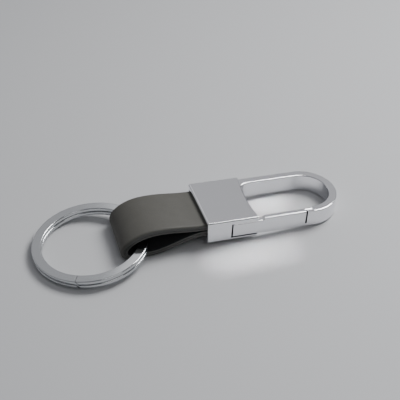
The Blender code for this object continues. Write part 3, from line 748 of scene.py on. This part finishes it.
def split_ring(finish, gap_shade_plate):
    """One flat wire wound twice round: a turn on top, a joggle down, and a turn below."""
    level = (RING_WIRE_THICKNESS + RING_TURN_GAP) / 2
    start_turn = math.radians(RING_START_DEGREES - RING_START_LAP_DEGREES)
    start = Matrix.Rotation(start_turn, 4, "Z") @ Matrix.Translation(
        (RING_MIDDLE_RADIUS, 0, level)
    ) @ Matrix.Rotation(math.pi / 2, 4, "X")
    bm, face = cross_section(
        RING_WIRE_WIDTH, RING_WIRE_THICKNESS, start,
        [(RING_WIRE_ROUND, ROUND_STEPS, lambda co: True)],
    )
    ends = [list(face.verts)]
    first_turn = math.radians(RING_START_LAP_DEGREES + RING_JOGGLE_START_DEGREES)
    joggle = math.radians(RING_JOGGLE_DEGREES / JOGGLE_STEPS)
    face = turned_on(bm, face, (0, 0, 0), first_turn, RING_STEPS)
    reached = 0.0
    for i in range(1, JOGGLE_STEPS + 1):
        share = i / JOGGLE_STEPS
        smooth = share * share * (3 - 2 * share)
        face = turned_on(bm, face, (0, 0, 0), joggle, 1, 2 * level * (smooth - reached))
        reached = smooth
    last_turn = RING_END_TURN_DEGREES - RING_JOGGLE_START_DEGREES - RING_JOGGLE_DEGREES
    face = turned_on(bm, face, (0, 0, 0), math.radians(last_turn), RING_STEPS)
    ends.append(list(face.verts))
    for verts in ends:
        middle = sum(vert.co.z for vert in verts) / len(verts)
        for vert in verts:
            slant = -RING_END_SLANT * (vert.co.z - middle) / (RING_WIRE_THICKNESS / 2)
            vert.co = Matrix.Rotation(slant, 3, "Z") @ vert.co
    made = new_object("ring_wire", bm, finish, gap_shade_plate)
    # Painted shade on the faces that look along the wire: its two ends and the slopes of the joggle
    for face in made.data.polygons:
        along = Vector((-face.center.y, face.center.x, 0)).normalized()
        if abs(face.normal.dot(along)) > RING_SLOPE_SHARE:
            face.material_index = 1
    faired(made)
    return placed(made, RING_PLACE, "ring", "plated_steel", "split_ring")


def bezier(start, start_way, end, end_way, steps):
    """Points of a cubic from start to end, whose handles both point in the sense of travel."""
    a, b = start + start_way, end - end_way
    points = []
    for i in range(1, steps + 1):
        t = i / steps
        s = 1 - t
        points.append(start * s**3 + a * 3 * s * s * t + b * 3 * s * t * t + end * t**3)
    return points


def side_point(x, z):
    """A point of the hook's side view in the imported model's frame, as (x, 0, z)."""
    place = HOOK_PLACE @ Vector((x, 0, z))
    return Vector((place.x, 0, place.z))


def strap_middle_line():
    """The strap's middle line from the side: out of the block, round the eye and back in."""
    lift = (STRAP_THICKNESS + STRAP_END_SEPARATION) / 2
    half = STRAP_THICKNESS / 2
    inner_x = STRAP_END_DEPTH - BLOCK_LENGTH
    mouth_x = -BLOCK_LENGTH - CAVITY_CLEARANCE
    upper_end = side_point(inner_x, MIDDLE_HEIGHT + lift)
    upper_mouth = side_point(mouth_x, MIDDLE_HEIGHT + lift)
    lower_mouth = side_point(mouth_x, MIDDLE_HEIGHT - lift)
    lower_end = side_point(inner_x, MIDDLE_HEIGHT - lift)
    outward = (upper_mouth - upper_end).normalized()
    left, right, down = Vector((-1, 0, 0)), Vector((1, 0, 0)), Vector((0, 0, -1))
    start = upper_mouth.x
    crest = Vector((start - CREST_REACH_SHARE * STRAP_REACH, 0, STRAP_LOOP_HEIGHT - half))
    bend = Vector((start - STRAP_REACH + half, 0, BEND_HEIGHT_SHARE * STRAP_LOOP_HEIGHT))
    foot_start = Vector((start - FOOT_START_REACH_SHARE * STRAP_REACH, 0, half))
    foot_end = Vector((start - FOOT_END_REACH_SHARE * STRAP_REACH, 0, half))
    rise = RISE_HANDLE_SHARE * (start - crest.x)
    over = CREST_HANDLE_SHARE * (crest.x - bend.x)
    upper_turn = BEND_UPPER_HANDLE_SHARE * (crest.z - bend.z)
    lower_turn = BEND_LOWER_HANDLE_SHARE * (bend.z - half)
    under = FOOT_HANDLE_SHARE * (foot_start.x - bend.x)
    back = RETURN_HANDLE_SHARE * (start - foot_end.x)
    return [
        upper_end,
        upper_end.lerp(upper_mouth, GRIPPED_SECTION_SHARE),
        upper_mouth,
        *bezier(upper_mouth, outward * rise, crest, left * rise, STRAP_STEPS),
        *bezier(crest, left * over, bend, down * upper_turn, STRAP_STEPS),
        *bezier(bend, down * lower_turn, foot_start, right * under, STRAP_STEPS),
        *[foot_start.lerp(foot_end, (i + 1) / STRAP_FOOT_STEPS) for i in range(STRAP_FOOT_STEPS)],
        *bezier(foot_end, right * back, lower_mouth, -outward * back, STRAP_STEPS),
        lower_mouth.lerp(lower_end, 1 - GRIPPED_SECTION_SHARE),
        lower_end,
    ]


def bend_share(x):
    """How far a point of the middle line lies from the strap's crest towards its bend, from 0 to 1."""
    start = side_point(-BLOCK_LENGTH - CAVITY_CLEARANCE, MIDDLE_HEIGHT).x
    crest = start - CREST_REACH_SHARE * STRAP_REACH
    bend = start - STRAP_REACH + STRAP_THICKNESS / 2
    return min(max((crest - x) / (crest - bend), 0), 1)


def band(thickness, offset, rounds):
    """A leather band along the strap's middle line."""
    path = strap_middle_line()
    ways = [(b - a).normalized() for a, b in zip(path, path[1:])]
    ways = [ways[0], *[(a + b).normalized() for a, b in zip(ways, ways[1:])], ways[-1]]
    angles = [math.atan2(way.z, way.x) for way in ways]
    face_turn = Matrix.Rotation(math.pi / 2, 4, "Z") @ Matrix.Rotation(math.pi / 2, 4, "X")
    lean = Matrix.Rotation(math.pi - angles[0], 4, "Y")
    bm, face = cross_section(
        STRAP_WIDTH, thickness, Matrix.Translation(path[0]) @ lean @ face_turn, rounds
    )
    out = Vector((-math.sin(angles[0]), 0, math.cos(angles[0]))) * -offset
    bmesh.ops.translate(bm, vec=out, verts=bm.verts)
    sections = [list(face.verts)]
    for i in range(1, len(path)):
        face = drawn_on(bm, face, path[i] - path[i - 1], first=i == 1)
        turn = angles[i - 1] - angles[i]
        bmesh.ops.rotate(bm, cent=path[i], matrix=Matrix.Rotation(turn, 3, "Y"), verts=face.verts)
        sections.append(list(face.verts))
    for point, verts in zip(path, sections):
        skew = STRAP_BEND_SKEW * bend_share(point.x) ** 2
        for vert in verts:
            vert.co.x += skew * (vert.co.y / STRAP_WIDTH + 0.5)
    for i in range(1, STRAP_WIDTH_STEPS):
        side = STRAP_WIDTH * (i / STRAP_WIDTH_STEPS - 0.5)
        bmesh.ops.bisect_plane(
            bm, geom=bm.verts[:] + bm.edges[:] + bm.faces[:], plane_co=(0, side, 0), plane_no=(0, 1, 0)
        )
    bmesh.ops.translate(bm, vec=(0, FOB_SHIFT.y, 0), verts=bm.verts)
    limit = STRAP_WIDTH / 2 - EDGE_PAINT_DEPTH
    for face in bm.faces:
        if abs(face.calc_center_median().y - FOB_SHIFT.y) > limit:
            face.material_index = 1
    return bm


def strap_layer(name, bm, materials, cad_node):
    """Finishes a layer of the strap: holes for the screw bosses and its shading."""
    made = new_object(name, bm, *materials)
    for side in (-SCREW_SIDE, SCREW_SIDE):
        hole = rod(
            (SCREW_INSET - BLOCK_LENGTH, side), BOSS_HOLE_RADIUS, BOSS_HOLE_RADIUS,
            -OVERRUN, BLOCK_HEIGHT + OVERRUN,
        )
        bmesh.ops.transform(hole, matrix=HOOK_PLACE, verts=hole.verts)
        combined(made, hole)
    faired(made)
    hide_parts(cad_node)
    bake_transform(made)
    return made


def outer_strap(grain, paint):
    """The grey leather, with broad round shoulders on its outer face and small rounds on its inner."""
    offset = (STRAP_THICKNESS - LEATHER_THICKNESS) / 2
    bm = band(
        LEATHER_THICKNESS, offset,
        [
            (STRAP_SHOULDER, STRAP_SHOULDER_STEPS, lambda co: co.y > 0),
            (
                STRAP_EDGE_ROUND, STRAP_UNDER_EDGE_STEPS,
                lambda co: co.y < SAME_POINT - LEATHER_THICKNESS / 2,
            ),
        ],
    )
    return strap_layer("strap_leather", bm, (grain, paint), "strap_outer_leather")


def inner_strap(lining, paint):
    """The dark lining, with the same small round on all its edges."""
    offset = (LINING_THICKNESS - STRAP_THICKNESS) / 2
    bm = band(LINING_THICKNESS, offset, [(STRAP_EDGE_ROUND, LINING_EDGE_STEPS, lambda co: True)])
    return strap_layer("strap_lining_leather", bm, (lining, paint), "strap_lining")


def refinished(name, finish):
    """Gives a carried-over solid its finish."""
    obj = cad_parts[name]
    for used in obj.material_slots:
        used.material = finish


def table_top(finish):
    """The wide flat table that the fob lies on."""
    bm = bmesh.new()
    bmesh.ops.create_grid(bm, x_segments=1, y_segments=1, size=TABLE_HALF_WIDTH)
    new_object("table_top", bm, finish)


def camera():
    """The photograph's view: from above, a little left of the gate's side, with a long lens."""
    data = bpy.data.cameras.new("camera")
    data.sensor_width = CAMERA_SENSOR_WIDTH_MM
    data.lens = CAMERA_LENS_MM
    made = bpy.data.objects.new("camera", data)
    bpy.context.collection.objects.link(made)
    made.location = CAMERA_AIM + CAMERA_WAY_BACK * CAMERA_DISTANCE
    made.rotation_euler = (-CAMERA_WAY_BACK).to_track_quat("-Z", "Y").to_euler()
    bpy.context.scene.camera = made


def softbox(name, place, aim, width, depth, power):
    """A rectangular light that faces a point. Returns its lamp."""
    data = bpy.data.lights.new(name, "AREA")
    data.shape = "RECTANGLE"
    data.size = width
    data.size_y = depth
    data.energy = power
    made = bpy.data.objects.new(name, data)
    bpy.context.collection.objects.link(made)
    made.location = place
    made.rotation_euler = (Vector(aim) - Vector(place)).to_track_quat("-Z", "Y").to_euler()
    return data


def glow(name, x, y, width, depth, power):
    """A patch of light that plated sides throw on the table, drawn by a narrow beam from overhead."""
    softbox(name, (x, y, GLOW_HEIGHT), (x, y, 0), width, depth, power).spread = GLOW_SPREAD


def studio():
    """A soft grey room, lighter overhead, behind and to the left, with its lights."""
    world = bpy.data.worlds.new("studio")
    bpy.context.scene.world = world
    world.use_nodes = True
    tree = world.node_tree
    shade = tree.nodes["Background"]
    way = node(tree, "ShaderNodeTexCoord").outputs["Generated"]
    slope = node(
        tree, "ShaderNodeVectorMath", {"operation": "DOT_PRODUCT"}, {1: ROOM_SLOPE}, {0: way}
    ).outputs["Value"]
    level = node(
        tree, "ShaderNodeMath", {"operation": "ADD"}, {1: ROOM_LEVEL}, {0: slope}
    ).outputs["Value"]
    tree.links.new(level, shade.inputs["Strength"])
    shade.inputs["Color"].default_value = linear("#F9FAFF")
    for light in SOFT_LIGHTS:
        softbox(*light)
    for patch in GLOWS:
        glow(*patch)


def build():
    """Makes every piece and its finish, then the table, the camera and the light."""
    # Plate over a polished casting: nearly a mirror, and the lightest of the metals
    zinc = bright_metal("bright nickel plate on die-cast zinc", "#F2F2F5", 0.12, 0.02, 0.000004)
    # Plate over rolled wire: a little darker and softer than the casting
    steel = bright_metal("nickel plate on spring-steel ring wire", "#CBCDCF", 0.15, 0.03, 0.000003)
    # Bare drawn wire: greyer, with hardly any ripple
    wire = bright_metal("bright drawn music wire", "#C0C2C4", 0.22, 0.02, 0.000001)
    # Plate over turned steel, for the screws and the pin: the softest shine
    screw_steel = bright_metal("nickel plate on steel screws", "#B8B9BA", 0.25, 0.03, 0.000002)
    # Dark plate, painted as shade inside gaps and joints
    gap_shade_plate = painted_gap_shade()
    hook_casting(zinc, gap_shade_plate)
    gate(zinc, gap_shade_plate)
    gate_spring(wire)
    split_ring(steel, gap_shade_plate)
    paint = edge_paint()
    outer_strap(leather(), paint)
    inner_strap(lining_leather(), paint)
    refinished("gate_pivot_pin", screw_steel)
    refinished("strap_screw_near", screw_steel)
    refinished("strap_screw_far", screw_steel)
    table_top(table_finish())
    camera()
    studio()


build()
bpy.context.view_layer.update()
bpy.context.view_layer.update()
